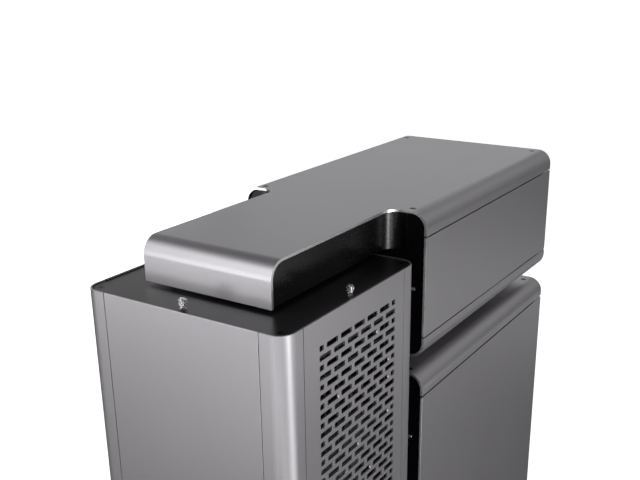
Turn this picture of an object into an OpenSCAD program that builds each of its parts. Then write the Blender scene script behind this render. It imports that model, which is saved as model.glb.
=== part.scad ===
/* [Overall] */
// Height from the floor to the top of the cover
case_h = 732; // [700:1:780]
// Depth from the column's front face to the chambers' rear edges
case_d = 688; // [660:1:740]
// Width of the column and of the two chambers
body_w = 260; // [252:1:268]
// Length of each foot bar, across the case
foot_w = 280; // [272:1:320]
// Height of the underside above the floor
foot_h = 26; // [20:1:40]

/* [Chambers] */
// Height of the upper chamber
upper_h = 182; // [175:1:200]
// Open gap between the upper and the lower chamber
chamber_gap = 22; // [16:1:30]
// Depth of the two chambers
chamber_d = 408; // [400:1:440]
// Thickness of the aluminium sheet of covers, shells and side panels
sheet = 3; // [2:0.1:4]
// Outer radius of the bends
bend_r = 20; // [14:0.5:22]
// Height of the bent sides of the top cover and of the bottom cover
cover_side_h = 28; // [26:0.5:34]
// Height of the bent sides of the two inner shells
shell_side_h = 27; // [26:0.5:34]
// Seam above and below the upper side panels
upper_seam = 1.8; // [0.8:0.1:2.5]
// Seam above and below the lower side panels
lower_seam = 2.6; // [0.8:0.1:3]
// How far the rear panels stand in from the rear edges
rear_recess = 20; // [14:1:24]
// How far the front plates stand in from the front edges
front_recess = 3; // [2:0.5:6]

/* [Column] */
// Depth of the front column
column_d = 258; // [250:1:266]
// Height from the column's top up to the cover's top, and the same below
column_drop = 51; // [46:1:56]
// Width of a corner post, from the corner to its seam
post_leg = 29.5; // [26:0.5:32]
// Outer radius of the corner posts
post_r = 18; // [12:0.5:22]
// Thickness of the column's panels and post walls
skin = 2; // [1.5:0.1:2.5]
// Seam between a post and a panel
post_seam = 1; // [0.6:0.1:1.6]

/* [Arms] */
// Width of the arm of the T-shaped covers
arm_w = 166; // [140:1:176]
// Distance from the column's front face back to the arm's front
arm_setback = 45; // [30:1:60]
// Gap between an arm and the column
arm_gap = 3; // [2:0.5:6]
// Radius of the inner corners of the T
arm_fillet_r = 16; // [8:1:22]

/* [Vent] */
// Length of one slot of the brick pattern
slot_l = 20.5; // [14:0.5:21]
// Height of one slot
slot_h = 6; // [3:0.5:7]
// Distance between slots in a row
slot_pitch = 26; // [24:0.5:26]
// Distance between rows
row_pitch = 10.6; // [9:0.1:11.2]
// Rows of slots
slot_rows = 52; // [10:1:52]
// Slots in a full row
row_slots = 6; // [4:2:6]

/* [Glass and doors] */
// Thickness of the tempered glass
glass_t = 4; // [3:0.5:4]
// Diameter of the door's hinge pins
hinge_pin_d = 5; // [4:0.5:6]

/* [Fans] */
// Edge of the column's fans
fan_size = 140; // [120:1:140]
// Edge of the rear fan
rear_fan_size = 120; // [92:1:120]
// Thickness of a fan
fan_t = 25; // [20:1:27]
// Blades of a rotor
fan_blades = 9; // [7:1:11]

/* [Hidden] */
$fn = 64;

// Clearances and the one overrun of every cut
seat = 0.3;
running = 0.05;
over = 1;
fuse = 0.5;

// Levels, from the floor
z_top = case_h;
z_column_top = z_top - column_drop;
z_upper = z_top - upper_h;
z_lower_top = z_upper - chamber_gap;
z_bottom = foot_h;
z_column_bottom = z_bottom + column_drop;
z_upper_seam_top = z_top - cover_side_h;
z_upper_seam_low = z_upper + shell_side_h;
z_lower_seam_top = z_lower_top - shell_side_h;
z_lower_seam_low = z_bottom + cover_side_h;
z_knob = (z_lower_seam_low + z_lower_seam_top) / 2;

// Places from front to rear
y_front = -case_d / 2;
y_rear = case_d / 2;
y_column_rear = y_front + column_d;
y_chamber = y_rear - chamber_d;
y_arm = y_front + arm_setback;
y_column_mid = (y_front + y_column_rear) / 2;

// Countersunk screws
screw_d = 4;
screw_head_d = 8;
screw_head_h = 2.2;
screw_l = 9;
screw_socket = 2.6;
screw_socket_depth = 1.4;
screw_sunk = 0.15;
cover_screw_inset = 24;
cover_screw_front = 11;
cover_screw_rear = 17;

// Steel plates inside
plate_t = 1.5;
rail_t = 1.2;
x_plate_right = body_w / 2 - sheet - seat;
x_plate_left = -body_w / 2 + glass_t + rail_t + seat;
plate_w = x_plate_right - x_plate_left;
plate_mid = (x_plate_right + x_plate_left) / 2;
plate_r = bend_r - sheet;
flange_half = body_w / 2 - bend_r - over;
front_flange = 20;
rear_flange = 12;
return_w = 18;
y_front_plate = y_chamber + front_recess;
y_rear_panel = y_rear - rear_recess;
y_rear_inner = y_rear_panel - plate_t;

// Push-in studs of the removable panels
stud_d = 5;
stud_l = 6.5;
stud_tip = 1;
bush_d = 10;
bush_l = 4;
y_stud_front = y_front_plate + return_w / 2;
y_stud_rear = y_rear_inner - return_w / 2 + plate_t;
upper_stud_shares = [0.2, 0.8];
lower_stud_shares = [0.08, 0.5, 0.92];

// Column
lip_w = 8;
lip_t = 1.5;
boss_d = 9;
boss_x = 14;
boss_y = 12;
boss_bore_d = 3.4;
cap_t = 2;
cap_sunk = 0.8;
cap_depth = cap_sunk + cap_t;
panel_half = body_w / 2 - post_leg - post_seam;
panel_d_half = column_d / 2 - post_leg - post_seam;
x_left_inner = -body_w / 2 + glass_t + seat;
x_right_inner = body_w / 2 - skin - seat;
y_front_inner = y_front + skin + seat;
y_back_inner = y_column_rear - skin - seat;
cap_w = x_right_inner - x_left_inner;
cap_d = y_back_inner - y_front_inner;
cap_mid_x = (x_right_inner + x_left_inner) / 2;
cap_mid_y = (y_back_inner + y_front_inner) / 2;
duct_w = 100;
duct_d = 60;
duct_r = 8;
duct_back = 20;
y_duct = y_column_mid + duct_back;
sill_h = 16;
sill_t = 1.5;
slot_back = 3;
column_stud_share = 0.7;
z_column_stud = z_column_bottom + cap_depth + sill_h / 2;

// Thumbscrews and the brackets that they clamp
thumb_d = 9;
thumb_h = 4.4;
thumb_neck_d = 5;
thumb_neck_h = 5.6;
thumb_crown_d = 7;
thumb_crown_h = 1.6;
thumb_shank_d = 4;
thumb_inset = 10;
thumb_ribs = 24;
thumb_rib_d = 0.9;
thumb_rib_in = 0.6;
thumb_ring_d = 6.8;
thumb_ring_h = 1;
thumb_ring_step = 3;
thumb_slot = 1.2;
tab_w = 5;
tab_play = 1.6;
tab_t = 1.5;
tab_l = 16;
clamp_w = 24;
clamp_t = 1.5;
clamp_l = 6;
clamp_drop = 5;
z_cap_top = z_column_top - cap_sunk;
z_cap_low = z_column_top - cap_depth;
z_tab = z_cap_low - seat - tab_t;

// Fan and filter in the column
x_bracket = x_right_inner - lip_t;
bracket_t = 2;
bracket_margin = 18;
filter_margin = 1;
filter_rim = 6;
filter_bar = 1.5;
filter_cols = 7;
filter_rows = 24;
fan_gap = 4;
fan_count = 3;
fan_stack = fan_count * fan_size + (fan_count - 1) * fan_gap;
z_fan_first = (z_column_top + z_column_bottom) / 2 - fan_stack / 2 + fan_size / 2;
x_fan = x_bracket - bracket_t - fan_t;
fan_corner_r = 6;
fan_wall = 2.5;
fan_hole_d = 4.4;
fan_hole_inset = 7.75;
hub_share = 0.29;
motor_t = 3;
strut_w = 5;
sleeve_d = 9;
sleeve_h = 9;
shaft_d = 3;
hub_wall = 2;
hub_gap = 0.8;
hub_margin = 2;
blade_t = 1.6;
blade_chord = 32;
blade_arc_r = 42;
blade_pitch = 38;
tip_gap = 1.4;
blade_margin = 1.2;

// Arm frames
arm_h = column_drop - arm_gap;
arm_plate_t = 1.5;
arm_inset = 3;
arm_curve_r = arm_fillet_r + arm_inset;
arm_flange = 9;
arm_foot = 5;
x_arm_side = arm_w / 2 - arm_inset;
collar_wall = 12;

// Buttons and ports on the arm's left side
button_d = 14;
reset_d = 6;
button_out = 1.5;
button_l = 7.5;
button_rim = 1.6;
button_rim_t = 1;
button_travel = 1.5;
ports_drop = 26;
power_back = 45;
reset_step = 20;
usb_step = 22;
z_ports = z_top - ports_drop;
y_power = y_arm + power_back;
y_reset = y_power + reset_step;
y_usb = y_reset + usb_step;
usb_pitch = 20;
usb_w = 13.2;
usb_h = 5.8;
usb_wall = 0.5;
usb_tongue = 1.8;
usb_depth = 12;
jack_d = 6.4;
jack_bore_d = 3.6;
board_t = 1.6;
board_x = 12;
board_margin = 12;
board_h = 26;
switch_side = 6;
switch_gap = 0.3;

// Upper chamber
psu_w = 150;
psu_h = 86;
psu_lift = 5;
psu_rim = 9;
psu_x = 20;
psu_hole_d = 4.2;
psu_hole_in = 6;
psu_open_w = psu_w - 2 * psu_hole_in - 2 * bush_d;
psu_hole_low = 16;
psu_hole_high = 80;
psu_offset_hole = 120;
cage_bays = 3;
bay_pitch = 34;
cage_w = 112;
cage_l = 150;
cage_wall = 1.5;
cage_front_gap = 8;
cage_inset = 17;
bay_rail_w = 5;
bay_rail_t = 1.5;
tray_floor = 2;
tray_wall = 2.5;
tray_wall_h = 14;
tray_rise = 0.3;
tray_front_h = 27;
tray_front_t = 4;
pin_hole_d = 3.4;

// Bridge between the chambers
bridge_w = 150;
bridge_d = 290;
bridge_r = 12;
bridge_wall = 2;
bridge_shift = 10;
bridge_y = (y_chamber + y_rear) / 2 - bridge_shift;
pass_w = 118;
pass_d = 150;
pass_back = 40;
pass_y = bridge_y + pass_back;

// Lower chamber
tray_x = 62;
tray_t = 1.5;
tray_flange = 12;
board_lift = 6.5;
standoff_d = 6;
standoff_bore = 2.9;
standoff_stud_d = 3.5;
board_rear_gap = 12;
board_top_gap = 40;
y_board_hole = y_rear_inner - board_rear_gap;
z_board_hole = z_lower_top - board_top_gap;
board_y_steps = [0, 154.94, 227.33];
board_z_steps = [0, 157.48, 281.94];
cutout_w = 130;
cutout_h = 120;
cutout_r = 10;
grommet_w = 32;
grommet_h = 84;
grommet_r = 8;
grommet_lip = 4;
grommet_t = 1;
grommet_wall = 2;
grommet_count = 3;
grommet_pitch = 118;
grommet_back = 56;
y_grommet = y_front_plate + grommet_back;
sled_w = 78;
sled_h = 106;
sled_t = 2;
sled_lip = 7;
sled_gap = 14;
sled_pad_d = 8;
sled_pad_h = 3;
sled_front = 150;
y_sled = y_rear_inner - sled_front;
sled_count = 2;
io_w = 44.5;
io_h = 159;
slot_count = 8;
card_pitch = 20.32;
card_slot_w = 13;
card_slot_l = 108;
card_cover_w = 18.4;
card_cover_t = 1;
card_cover_over = 3;
card_vent_w = 3;
card_vent_l = 20;
card_vents = 4;
card_vent_in = 2.7;
io_edge = 1.2;
io_step = 2;
card_gap = 18;
io_right = tray_x - board_lift - io_edge;
z_io_top = z_board_hole - io_step;
z_card_first = z_io_top - io_h - card_gap;
rear_fan_x = -58;
rear_fan_drop = 102;
rear_fan_z = z_lower_top - rear_fan_drop;
ring_w = 3;
ring_pitch = 9;
grille_hub_d = 24;
grille_spoke = 4;

// Door
axis_back = 8;
axis_side = 9;
door_front_gap = 1;
door_rear_gap = 2;
y_axis = y_rear - axis_back;
x_axis = -body_w / 2 + axis_side;
y_door_front = y_chamber + door_front_gap;
y_door_rear = y_rear - door_rear_gap;
leaf_l = 30;
leaf_h = 22;
knuckle_d = 9;
pin_block = 12;
pin_block_w = 13;
pin_block_l = 28;
knob_d = 14;
knob_h = 7;
knob_stem_d = 6;
knob_inner_t = 1.2;
knob_inset = 30;
strip_w = 16;

// Feet
bar_w = 40;
bar_h = 20;
pad_d = 32;
pad_recess = 2;
foot_front_in = 50;
foot_rear_in = 54;
y_foot_front = y_arm + foot_front_in;
y_foot_rear = y_rear - foot_rear_in;
foot_bolt_d = 6;

module rounded_rect(w, h, r) {
    square([w - 2 * r, h], center = true);
    square([w, h - 2 * r], center = true);
    for (sx = [-1, 1], sy = [-1, 1])
        translate([sx * (w / 2 - r), sy * (h / 2 - r)])
            circle(r);
}

// An outline in x and z, drawn along y
module along_y(y0, y1) {
    translate([0, y1, 0])
        rotate([90, 0, 0])
            linear_extrude(y1 - y0)
                children();
}

// An outline in y and z, drawn along x
module along_x(x0, x1) {
    translate([x0, 0, 0])
        rotate([90, 0, 90])
            linear_extrude(x1 - x0)
                children();
}

// Outline of a sheet bent down at both sides, filled, with its top at zero
module bend_outline(w, h, r) {
    intersection() {
        translate([-w / 2, -h])
            square([w, h]);
        union() {
            translate([-w / 2, -h])
                square([w, h - r]);
            translate([r - w / 2, -h])
                square([w - 2 * r, h]);
            for (side = [-1, 1])
                translate([side * (w / 2 - r), -r])
                    circle(r);
        }
    }
}

module bent_sheet(w, h, r, t) {
    difference() {
        bend_outline(w, h, r);
        translate([0, -t])
            bend_outline(w - 2 * t, h, r - t);
    }
}

// Outline of a sheet bent down at its front, filled, with its corner at zero
module nose_outline(l, h, r) {
    intersection() {
        translate([0, -h])
            square([l, h]);
        union() {
            translate([r, -h])
                square([l - r, h]);
            translate([0, -h])
                square([l, h - r]);
            translate([r, -r])
                circle(r);
        }
    }
}

module countersink() {
    translate([0, 0, -sheet - over])
        cylinder(d = screw_d + 2 * seat, h = sheet + 2 * over);
    translate([0, 0, -screw_head_h - screw_sunk])
        cylinder(d1 = screw_d + 2 * seat, d2 = screw_head_d + 2 * seat, h = screw_head_h + screw_sunk);
}

module countersunk_screw() {
    difference() {
        union() {
            translate([0, 0, -screw_head_h - screw_sunk])
                cylinder(d1 = screw_d, d2 = screw_head_d, h = screw_head_h);
            translate([0, 0, -screw_l])
                cylinder(d = screw_d, h = screw_l - screw_head_h - screw_sunk);
        }
        translate([0, 0, -screw_sunk - screw_socket_depth])
            cylinder(d = screw_socket, h = screw_socket_depth + over, $fn = 6);
    }
}

// Places of the four screws that hold a cover or a shell
module at_cover_screws() {
    for (side = [-1, 1]) {
        translate([side * (body_w / 2 - cover_screw_inset), y_chamber + cover_screw_front, 0])
            children();
        translate([side * (body_w / 2 - cover_screw_inset), y_rear - cover_screw_rear, 0])
            children();
    }
}

// The T-shaped cover, with its top face at zero
module t_cover() {
    difference() {
        union() {
            along_y(y_chamber, y_rear)
                bent_sheet(body_w, cover_side_h, bend_r, sheet);
            along_x(-arm_w / 2, arm_w / 2)
                difference() {
                    translate([y_arm, 0])
                        nose_outline(y_chamber + fuse - y_arm, arm_h, bend_r);
                    translate([y_arm + sheet, -sheet])
                        nose_outline(y_chamber + fuse - y_arm, arm_h, bend_r - sheet);
                }
            for (side = [0, 1])
                mirror([side, 0, 0])
                    translate([arm_w / 2, y_chamber, -sheet])
                        linear_extrude(sheet)
                            difference() {
                                translate([-fuse, -arm_fillet_r])
                                    square([arm_fillet_r + fuse, arm_fillet_r + fuse]);
                                translate([arm_fillet_r, -arm_fillet_r])
                                    circle(arm_fillet_r);
                            }
        }
        at_cover_screws()
            countersink();
    }
}

module top_cover() {
    color([0.56, 0.55, 0.56])
        translate([0, 0, z_top])
            t_cover();
}

module bottom_cover() {
    color([0.5, 0.49, 0.5])
        translate([0, 0, z_bottom])
            mirror([0, 0, 1])
                difference() {
                    t_cover();
                    for (side = [-1, 1])
                        translate([side * bar_w, y_foot_front, -sheet - over])
                            cylinder(d = foot_bolt_d, h = sheet + 2 * over);
                }
}

// A shell with bent sides and a hole for the cables that pass the bridge
module inner_shell() {
    difference() {
        along_y(y_chamber, y_rear)
            bent_sheet(body_w, shell_side_h, bend_r, sheet);
        at_cover_screws()
            countersink();
        translate([0, pass_y, -sheet - over])
            linear_extrude(sheet + 2 * over)
                rounded_rect(pass_w, pass_d, bridge_r);
    }
}

module upper_bottom_shell() {
    color([0.5, 0.49, 0.5])
        translate([0, 0, z_upper])
            mirror([0, 0, 1])
                inner_shell();
}

module lower_top_shell() {
    color([0.54, 0.53, 0.54])
        translate([0, 0, z_lower_top])
            inner_shell();
}

// A steel plate across a chamber, with flanges above and below and a return at each side
module cross_plate(z_low, z_high, y_face, flange_l, stud_zs, stud_y, inward, sides = [0, 1]) {
    z_in_low = z_low + sheet;
    z_in_high = z_high - sheet;
    y_flange = flange_l > 0 ? y_face : y_face + plate_t + flange_l;
    y_return = inward > 0 ? y_face : y_face + plate_t - return_w;
    z_return = stud_zs[0] - bush_d;
    return_h = stud_zs[len(stud_zs) - 1] - stud_zs[0] + 2 * bush_d;
    bush_starts = [x_plate_left + plate_t - fuse, x_plate_right - plate_t - bush_l];
    difference() {
        union() {
            along_y(y_face, y_face + plate_t)
                translate([plate_mid, (z_in_low + z_in_high) / 2])
                    rounded_rect(plate_w, z_in_high - z_in_low, plate_r);
            for (z = [z_in_low, z_in_high - plate_t])
                translate([-flange_half, y_flange, z])
                    cube([2 * flange_half, abs(flange_l), plate_t]);
            for (x = [x_plate_left, x_plate_right - plate_t])
                translate([x, y_return, z_return])
                    cube([plate_t, return_w, return_h]);
            for (z = stud_zs, side = sides)
                translate([bush_starts[side], stud_y, z])
                    rotate([0, 90, 0])
                        cylinder(d = bush_d, h = bush_l + fuse);
        }
        for (z = stud_zs, side = sides)
            translate([bush_starts[side] - plate_t - over, stud_y, z])
                rotate([0, 90, 0])
                    cylinder(d = stud_d + 2 * running, h = 2 * plate_t + bush_l + 2 * over);
        for (z = [z_in_low - over, z_in_high - plate_t - over])
            translate([0, 0, z])
                at_cover_screws()
                    cylinder(d = screw_d + 2 * seat, h = plate_t + 2 * over);
        children();
    }
}

function stud_levels(z_low, z_high, shares) = [for (s = shares) z_low + s * (z_high - z_low)];
upper_studs = stud_levels(z_upper_seam_low, z_upper_seam_top, upper_stud_shares);
lower_studs = stud_levels(z_lower_seam_low, z_lower_seam_top, lower_stud_shares);

module upper_front_plate() {
    color([0.05, 0.05, 0.055])
        cross_plate(z_upper, z_top, y_front_plate, front_flange, upper_studs, y_stud_front, 1)
            translate([0, y_front_plate - over, z_top - arm_h / 2])
                rotate([-90, 0, 0])
                    linear_extrude(plate_t + 2 * over)
                        rounded_rect(duct_w + collar_wall, arm_h / 2, duct_r);
}

module lower_front_plate() {
    color([0.05, 0.05, 0.055])
        cross_plate(z_bottom, z_lower_top, y_front_plate, front_flange, lower_studs, y_stud_front, 1)
            translate([0, y_front_plate - over, z_bottom + arm_h / 2])
                rotate([-90, 0, 0])
                    linear_extrude(plate_t + 2 * over)
                        rounded_rect(duct_w + collar_wall, arm_h / 2, duct_r);
}

module upper_rear_panel() {
    color([0.06, 0.06, 0.065])
        cross_plate(z_upper, z_top, y_rear_inner, rear_flange, upper_studs, y_stud_rear, -1)
            translate([psu_x - psu_open_w / 2, y_rear_inner - over, z_upper + sheet + psu_lift])
                cube([psu_open_w, plate_t + 2 * over, psu_h]);
}

module psu_bracket() {
    z_psu = z_upper + sheet + psu_lift;
    color([0.12, 0.12, 0.13])
        translate([psu_x - psu_w / 2, y_rear_panel + plate_t, z_psu])
            rotate([90, 0, 0])
                linear_extrude(plate_t)
                    difference() {
                        translate([-psu_rim, 0])
                            square([psu_w + 2 * psu_rim, psu_h + psu_rim]);
                        translate([(psu_w - psu_open_w) / 2, psu_rim])
                            square([psu_open_w, psu_h - 2 * psu_rim]);
                        for (p = [[psu_hole_in, psu_hole_low], [psu_w - psu_hole_in, psu_hole_low],
                                  [psu_hole_in, psu_hole_high], [psu_offset_hole, psu_hole_high]])
                            translate(p)
                                circle(d = psu_hole_d);
                    }
}

// A flat side panel of aluminium with its push-in studs, on the right
module flat_panel(z_low, z_high, y0, y1, studs) {
    translate([body_w / 2 - sheet, y0, z_low])
        cube([sheet, y1 - y0, z_high - z_low]);
    for (z = studs, y = [y_stud_front, y_stud_rear])
        translate([body_w / 2 - sheet + fuse, y, z])
            rotate([0, -90, 0]) {
                cylinder(d = stud_d, h = stud_l + fuse - stud_tip);
                translate([0, 0, stud_l + fuse - stud_tip])
                    cylinder(d1 = stud_d, d2 = stud_d - stud_tip, h = stud_tip);
            }
}

module upper_side_panel() {
    color([0.45, 0.44, 0.45])
        flat_panel(z_upper_seam_low + upper_seam, z_upper_seam_top - upper_seam,
                   y_chamber, y_rear, upper_studs);
}

module lower_side_panel() {
    color([0.42, 0.41, 0.42])
        flat_panel(z_lower_seam_low + lower_seam, z_lower_seam_top - lower_seam,
                   y_chamber, y_rear, lower_studs);
}

module upper_glass() {
    color([0.1, 0.1, 0.11, 0.6])
        translate([-body_w / 2, y_chamber, z_upper_seam_low + upper_seam])
            cube([glass_t, chamber_d, z_upper_seam_top - z_upper_seam_low - 2 * upper_seam]);
}

module upper_glass_rails() {
    z_rail = z_upper_seam_low + upper_seam;
    rail_h = z_upper_seam_top - z_upper_seam_low - 2 * upper_seam;
    color([0.1, 0.1, 0.1])
        for (y = [y_stud_front, y_stud_rear]) {
            translate([-body_w / 2 + glass_t, y - strip_w / 2, z_rail])
                cube([rail_t, strip_w, rail_h]);
            for (z = upper_studs)
                translate([-body_w / 2 + glass_t, y, z])
                    rotate([0, 90, 0]) {
                        cylinder(d = stud_d, h = stud_l - stud_tip);
                        translate([0, 0, stud_l - stud_tip])
                            cylinder(d1 = stud_d, d2 = stud_d - stud_tip, h = stud_tip);
                    }
        }
}

// The black duct under a cover's arm, with its top at zero
module arm_frame(ports) {
    y_curve = y_front_plate - arm_curve_r - arm_plate_t;
    y_nose = y_arm + sheet + seat;
    difference() {
        intersection() {
            along_x(-body_w / 2, body_w / 2)
                translate([y_nose, -sheet])
                    nose_outline(y_front_plate - y_nose, arm_h - sheet, bend_r - sheet);
            union() {
                for (side = [0, 1])
                    mirror([side, 0, 0])
                        translate([0, 0, -arm_h])
                            linear_extrude(arm_h) {
                                translate([x_arm_side - arm_plate_t, y_nose])
                                    square([arm_plate_t, y_curve - y_nose]);
                                translate([x_arm_side + arm_curve_r, y_curve])
                                    intersection() {
                                        difference() {
                                            circle(arm_curve_r + arm_plate_t);
                                            circle(arm_curve_r);
                                        }
                                        translate([-arm_curve_r - arm_plate_t, 0])
                                            square(arm_curve_r + arm_plate_t);
                                    }
                                translate([x_arm_side + arm_curve_r, y_front_plate - arm_plate_t])
                                    square([arm_foot, arm_plate_t]);
                            }
                translate([-x_arm_side, y_nose, -arm_h])
                    cube([2 * x_arm_side, y_front_plate - y_nose, arm_plate_t]);
                for (side = [0, 1])
                    mirror([side, 0, 0])
                        translate([x_arm_side - arm_flange, y_nose + bend_r, -sheet - arm_plate_t])
                            cube([arm_flange, y_curve - y_nose - bend_r, arm_plate_t]);
            }
        }
        translate([0, y_duct, -arm_h - over])
            linear_extrude(arm_plate_t + 2 * over)
                rounded_rect(duct_w, duct_d, duct_r);
        if (ports)
            translate([0, 0, -z_top])
                port_cuts();
    }
}

module port_cuts() {
    translate([-x_arm_side - over, y_power, z_ports])
        rotate([0, 90, 0])
            cylinder(d = button_d + 2 * running, h = arm_plate_t + 2 * over);
    translate([-x_arm_side - over, y_reset, z_ports])
        rotate([0, 90, 0])
            cylinder(d = reset_d + 2 * running, h = arm_plate_t + 2 * over);
    for (i = [0, 1])
        translate([-x_arm_side - over, y_usb + i * usb_pitch - usb_w / 2 - seat, z_ports - usb_h / 2 - seat])
            cube([arm_plate_t + 2 * over, usb_w + 2 * seat, usb_h + 2 * seat]);
    translate([-x_arm_side - over, y_usb + 2 * usb_pitch - usb_pitch / 4, z_ports])
        rotate([0, 90, 0])
            cylinder(d = jack_d + 2 * seat, h = arm_plate_t + 2 * over);
}

module upper_arm_frame() {
    color([0.04, 0.04, 0.045])
        translate([0, 0, z_top])
            arm_frame(true);
}

module lower_arm_frame() {
    color([0.04, 0.04, 0.045])
        translate([0, 0, z_bottom])
            mirror([0, 0, 1])
                arm_frame(false);
}

// Rings round the two cable ducts, between the arms and the column
module arm_collars() {
    color([0.08, 0.08, 0.08])
        for (z = [z_cap_top, z_bottom + arm_h])
            translate([0, y_duct, z])
                linear_extrude(arm_gap + cap_sunk)
                    difference() {
                        rounded_rect(duct_w + 2 * collar_wall, duct_d + 2 * collar_wall,
                                     duct_r + collar_wall);
                        rounded_rect(duct_w, duct_d, duct_r);
                    }
}

module io_board() {
    x_board = -x_arm_side + board_x;
    y_board = y_power - board_margin;
    board_l = y_usb + 2 * usb_pitch + board_margin - y_board;
    color([0.05, 0.25, 0.12])
        difference() {
            union() {
                translate([x_board, y_board, z_ports - board_h / 2])
                    cube([board_t, board_l, board_h]);
                for (y = [y_power, y_reset])
                    translate([-x_arm_side + button_l + button_travel - button_out + switch_gap,
                               y - switch_side / 2, z_ports - switch_side / 2])
                        cube([board_x + fuse - button_l - button_travel + button_out - switch_gap,
                              switch_side, switch_side]);
                for (i = [0, 1])
                    translate([-x_arm_side, y_usb + i * usb_pitch - usb_w / 2, z_ports - usb_h / 2])
                        cube([board_x + fuse, usb_w, usb_h]);
                translate([-x_arm_side, y_usb + 2 * usb_pitch - usb_pitch / 4, z_ports])
                    rotate([0, 90, 0])
                        cylinder(d = jack_d, h = board_x + fuse);
                translate([-x_arm_side + arm_plate_t, y_board, z_ports - board_h / 2])
                    cube([board_x + fuse - arm_plate_t, board_t, board_h]);
                translate([-x_arm_side + arm_plate_t, y_board + board_l - board_t, z_ports - board_h / 2])
                    cube([board_x + fuse - arm_plate_t, board_t, board_h]);
            }
            for (i = [0, 1])
                translate([-x_arm_side - over, y_usb + i * usb_pitch, z_ports])
                    difference() {
                        translate([0, usb_wall - usb_w / 2, usb_wall - usb_h / 2])
                            cube([usb_depth - usb_wall + over, usb_w - 2 * usb_wall, usb_h - 2 * usb_wall]);
                        translate([usb_wall + over, 2 * usb_wall - usb_w / 2, 0])
                            cube([usb_depth, usb_w - 4 * usb_wall, usb_tongue]);
                    }
            translate([-x_arm_side - over, y_usb + 2 * usb_pitch - usb_pitch / 4, z_ports])
                rotate([0, 90, 0])
                    cylinder(d = jack_bore_d, h = usb_depth);
        }
}

module push_button(d, y) {
    translate([-x_arm_side - button_out, y, z_ports])
        rotate([0, 90, 0]) {
            cylinder(d = d, h = button_l);
            translate([0, 0, button_out + arm_plate_t + seat])
                cylinder(d = d + 2 * button_rim, h = button_rim_t);
        }
}

module power_button() {
    color([0.6, 0.6, 0.62])
        push_button(button_d, y_power);
}

module reset_button() {
    color([0.6, 0.6, 0.62])
        push_button(reset_d, y_reset);
}

// Plan of a corner post, its corner at zero, with rests for the panels beside it
module post_plan() {
    difference() {
        intersection() {
            square(post_leg);
            union() {
                translate([post_r, 0])
                    square([post_leg, post_leg]);
                translate([0, post_r])
                    square([post_leg, post_leg]);
                translate([post_r, post_r])
                    circle(post_r);
            }
        }
        intersection() {
            translate([skin, skin])
                square(post_leg);
            union() {
                translate([post_r, skin])
                    square([post_leg, post_leg]);
                translate([skin, post_r])
                    square([post_leg, post_leg]);
                translate([post_r, post_r])
                    circle(post_r - skin);
            }
        }
    }
}

module post_rests(rest_x, rest_y) {
    translate([post_leg - lip_t, fuse])
        square([lip_t, rest_y + lip_t - fuse]);
    translate([post_leg - lip_t, rest_y])
        square([lip_w + lip_t, lip_t]);
    translate([fuse, post_leg - lip_t])
        square([rest_x + lip_t - fuse, lip_t]);
    translate([rest_x, post_leg - lip_t])
        square([lip_t, lip_w + lip_t]);
    difference() {
        union() {
            translate([boss_x, boss_y])
                circle(d = boss_d);
            translate([boss_x - lip_t / 2, fuse])
                square([lip_t, boss_y - fuse]);
        }
        translate([boss_x, boss_y])
            circle(d = boss_bore_d);
    }
}

module corner_post(side_x, side_y, rest_x) {
    color([0.5, 0.49, 0.5])
        translate([side_x * body_w / 2, side_y < 0 ? y_front : y_column_rear, 0])
            mirror([side_x > 0 ? 1 : 0, 0, 0])
                mirror([0, side_y > 0 ? 1 : 0, 0]) {
                    translate([0, 0, z_column_bottom])
                        linear_extrude(z_column_top - z_column_bottom)
                            post_plan();
                    translate([0, 0, z_column_bottom + cap_depth])
                        linear_extrude(z_column_top - z_column_bottom - 2 * cap_depth)
                            post_rests(rest_x, skin + seat);
                }
}

module post_front_left() {
    corner_post(-1, -1, glass_t + seat);
}

module post_front_right() {
    corner_post(1, -1, skin + seat);
}

module post_rear_left() {
    corner_post(-1, 1, glass_t + seat);
}

module post_rear_right() {
    corner_post(1, 1, skin + seat);
}

module at_post_screws() {
    for (sx = [-1, 1], sy = [0, 1])
        translate([sx * (body_w / 2 - boss_x), sy > 0 ? y_column_rear - boss_y : y_front + boss_y, 0])
            children();
}

// Outline of the column's end plates, inside the panels and the post walls
module cap_outline() {
    difference() {
        translate([cap_mid_x, cap_mid_y])
            rounded_rect(cap_w, cap_d, post_r - skin);
        for (sy = [0, 1])
            translate([-body_w / 2, sy > 0 ? y_column_rear - post_leg - seat : y_front])
                square([glass_t + seat, post_leg + seat]);
    }
}

// Bracket under the top plate that a thumbscrew screws into, drawn for the front edge
module clamp_bracket() {
    for (side = [-1, 1])
        translate([side * (clamp_w - clamp_t) / 2 - clamp_t / 2, -clamp_l / 2, -clamp_drop - clamp_t])
            cube([clamp_t, clamp_l, clamp_drop + clamp_t + fuse]);
    difference() {
        translate([-clamp_w / 2, -clamp_l / 2, -clamp_drop - clamp_t])
            cube([clamp_w, clamp_l, clamp_t]);
        translate([0, 0, -clamp_drop - clamp_t - over])
            cylinder(d = thumb_shank_d + 2 * running, h = clamp_t + 2 * over);
    }
}

// Puts what is drawn for the front edge's centre at one of the three thumbscrew places
module at_thumb(place) {
    if (place == "front")
        translate([0, y_front + thumb_inset, 0])
            children();
    if (place == "right")
        translate([body_w / 2 - thumb_inset, y_column_mid, 0])
            rotate([0, 0, 90])
                children();
    if (place == "left")
        translate([-body_w / 2 + thumb_inset, y_column_mid, 0])
            rotate([0, 0, -90])
                children();
}

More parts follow.
